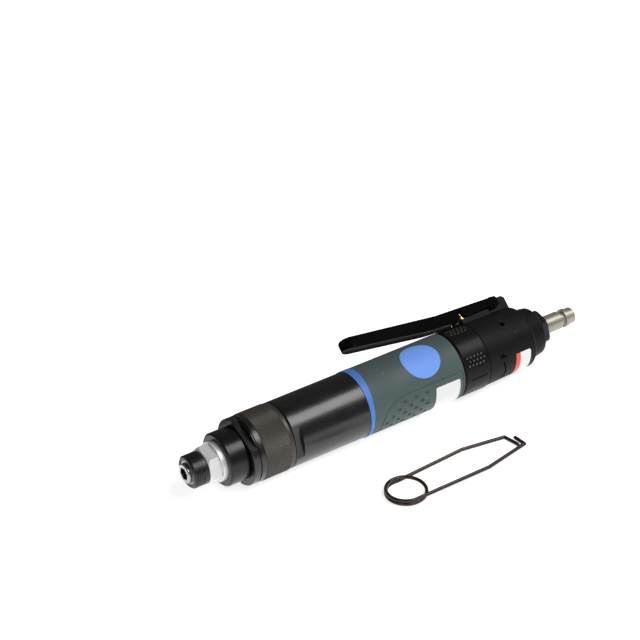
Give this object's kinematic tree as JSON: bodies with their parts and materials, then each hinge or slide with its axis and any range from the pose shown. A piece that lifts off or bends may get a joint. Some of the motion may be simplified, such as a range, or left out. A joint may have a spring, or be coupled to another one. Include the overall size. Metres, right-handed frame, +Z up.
{
  "type": "straight pneumatic screwdriver",
  "caption": "Straight air screwdriver with a hexagon bit socket, knurled torque collar, grey-green grip, reverse ring, throttle lever and air plug, its wire hanger lying beside it.",
  "frame": {"origin": "on the tool axis at the mouth of the bit socket", "axes": "+X along the tool axis from the bit socket back to the air plug, +Z up as the tool lies on its side, with the throttle lever leaning towards +Y"},
  "size_m": [0.2526, 0.0992, 0.0442],
  "materials": {
    "steel": "ground",
    "nickel": "bright nickel plate",
    "spring_steel": "drawn wire",
    "black_oxide_steel": "black oxide",
    "gloss_black_metal": "gloss",
    "satin_black_aluminium": "satin",
    "knurl_black": "brownish black, knurled",
    "black_plastic": "satin",
    "blue_plastic": "satin",
    "grey_green_rubber": "matt",
    "brass": "turned",
    "cast_iron": "ground",
    "vane_fibre": "matt",
    "seal_rubber": "matt",
    "bronze_wire": "dark bronze"
  },
  "bodies": {
    "spindle": {"spindle": "steel", "bit_ball": "steel", "bit_sleeve_snap_ring": "spring_steel", "bit_sleeve_spring": "spring_steel", "thrust_balls": "steel", "clutch_balls": "steel", "clutch_driver": "steel", "output_carrier": "steel", "output_planet_pins": "steel"},
    "bit_sleeve": {"bit_sleeve": "black_oxide_steel"},
    "torque_collar": {"torque_collar": "knurl_black"},
    "spring_adjuster": {"spring_adjuster": "steel"},
    "output_planet_1": {"output_planet_1": "steel"},
    "output_planet_2": {"output_planet_2": "steel"},
    "output_planet_3": {"output_planet_3": "steel"},
    "input_carrier": {"input_carrier": "steel", "output_sun": "steel", "input_planet_pins": "steel"},
    "input_planet_1": {"input_planet_1": "steel"},
    "input_planet_2": {"input_planet_2": "steel"},
    "input_planet_3": {"input_planet_3": "steel"},
    "rotor": {"rotor": "steel", "vanes": "vane_fibre", "motor_pinion": "steel"},
    "reverse_ring": {"reverse_ring": "black_plastic", "reverse_valve": "brass", "reverse_pin": "steel"},
    "throttle_lever": {"throttle_lever": "gloss_black_metal"},
    "valve_stem": {"valve_stem": "brass"},
    "housing": {"spindle_nut": "nickel", "nose_housing": "gloss_black_metal", "nose_bearing": "steel", "front_lock_ring": "gloss_black_metal", "clutch_spring": "spring_steel", "thrust_washer": "steel", "ring_gear": "steel", "carrier_bearing": "steel", "motor_case": "gloss_black_metal", "blue_ring": "blue_plastic", "grip_sleeve": "grey_green_rubber", "front_end_plate": "cast_iron", "front_bearing": "steel", "motor_cylinder": "cast_iron", "cylinder_pin": "steel", "rear_end_plate": "cast_iron", "rear_bearing": "steel", "rear_housing": "satin_black_aluminium", "detent_ball": "steel", "detent_spring": "spring_steel", "lever_pin": "black_oxide_steel", "valve_bush": "brass", "valve_spring": "spring_steel", "exhaust_collar": "satin_black_aluminium", "inlet_bushing": "black_oxide_steel", "inlet_o_ring": "seal_rubber", "inlet_screen": "brass", "air_plug": "nickel", "suspension_bail": "bronze_wire"}
  },
  "joints": [
    {"name": "spindle_spin", "type": "hinge", "parent": "housing", "child": "spindle", "pos_m": [0, 0, 0], "axis": [1, 0, 0], "continuous": true},
    {"name": "input_carrier_spin", "type": "hinge", "parent": "housing", "child": "input_carrier", "pos_m": [0.08, 0, 0], "axis": [1, 0, 0], "continuous": true},
    {"name": "rotor_spin", "type": "hinge", "parent": "housing", "child": "rotor", "pos_m": [0.12, 0, 0], "axis": [1, 0, 0], "continuous": true},
    {"name": "input_planet_1_spin", "type": "hinge", "parent": "input_carrier", "child": "input_planet_1", "pos_m": [0, 0.00632, 0.0053], "axis": [1, 0, 0], "continuous": true},
    {"name": "input_planet_2_spin", "type": "hinge", "parent": "input_carrier", "child": "input_planet_2", "pos_m": [0, -0.00775, 0.00282], "axis": [1, 0, 0], "continuous": true},
    {"name": "input_planet_3_spin", "type": "hinge", "parent": "input_carrier", "child": "input_planet_3", "pos_m": [0, 0.00143, -0.00813], "axis": [1, 0, 0], "continuous": true},
    {"name": "output_planet_1_spin", "type": "hinge", "parent": "spindle", "child": "output_planet_1", "pos_m": [0, 0.00632, 0.0053], "axis": [1, 0, 0], "continuous": true},
    {"name": "output_planet_2_spin", "type": "hinge", "parent": "spindle", "child": "output_planet_2", "pos_m": [0, -0.00775, 0.00282], "axis": [1, 0, 0], "continuous": true},
    {"name": "output_planet_3_spin", "type": "hinge", "parent": "spindle", "child": "output_planet_3", "pos_m": [0, 0.00143, -0.00813], "axis": [1, 0, 0], "continuous": true},
    {"name": "bit_sleeve_slide", "type": "slide", "parent": "spindle", "child": "bit_sleeve", "axis": [-1, 0, 0], "range_m": [0, 0.0027], "stiffness_N_per_m": 900, "springref_m": -0.002, "deforming": ["bit_sleeve_spring"]},
    {"name": "torque_collar_turn", "type": "hinge", "parent": "housing", "child": "torque_collar", "pos_m": [0.047, 0, 0], "axis": [1, 0, 0], "range_deg": [0, 300]},
    {"name": "spring_adjuster_slide", "type": "slide", "parent": "housing", "child": "spring_adjuster", "axis": [-1, 0, 0], "range_m": [0, 0.00125]},
    {"name": "reverse_ring_turn", "type": "hinge", "parent": "housing", "child": "reverse_ring", "pos_m": [0.1744, 0, 0], "axis": [1, 0, 0], "range_deg": [0, 55]},
    {"name": "throttle_lever_press", "type": "hinge", "parent": "housing", "child": "throttle_lever", "pos_m": [0.2063, 0.01708, 0.01433], "axis": [0, -0.6428, 0.766], "range_deg": [0, 3], "stiffness_Nm_per_rad": 1, "springref_deg": -5.73, "deforming": ["valve_spring"]},
    {"name": "valve_stem_slide", "type": "slide", "parent": "housing", "child": "valve_stem", "axis": [0, -0.766, -0.6428], "range_m": [0, 0.00105]}
  ],
  "couplings": [
    {"joint": "input_carrier_spin", "follows": "rotor_spin", "ratio": 0.25},
    {"joint": "spindle_spin", "follows": "rotor_spin", "ratio": 0.0625},
    {"joint": "input_planet_1_spin", "follows": "rotor_spin", "ratio": -0.75},
    {"joint": "input_planet_2_spin", "follows": "rotor_spin", "ratio": -0.75},
    {"joint": "input_planet_3_spin", "follows": "rotor_spin", "ratio": -0.75},
    {"joint": "output_planet_1_spin", "follows": "rotor_spin", "ratio": -0.1875},
    {"joint": "output_planet_2_spin", "follows": "rotor_spin", "ratio": -0.1875},
    {"joint": "output_planet_3_spin", "follows": "rotor_spin", "ratio": -0.1875},
    {"joint": "spring_adjuster_slide", "follows": "torque_collar_turn", "m_per_rad": 0.00023873},
    {"joint": "valve_stem_slide", "follows": "throttle_lever_press", "m_per_rad": 0.0187}
  ]
}
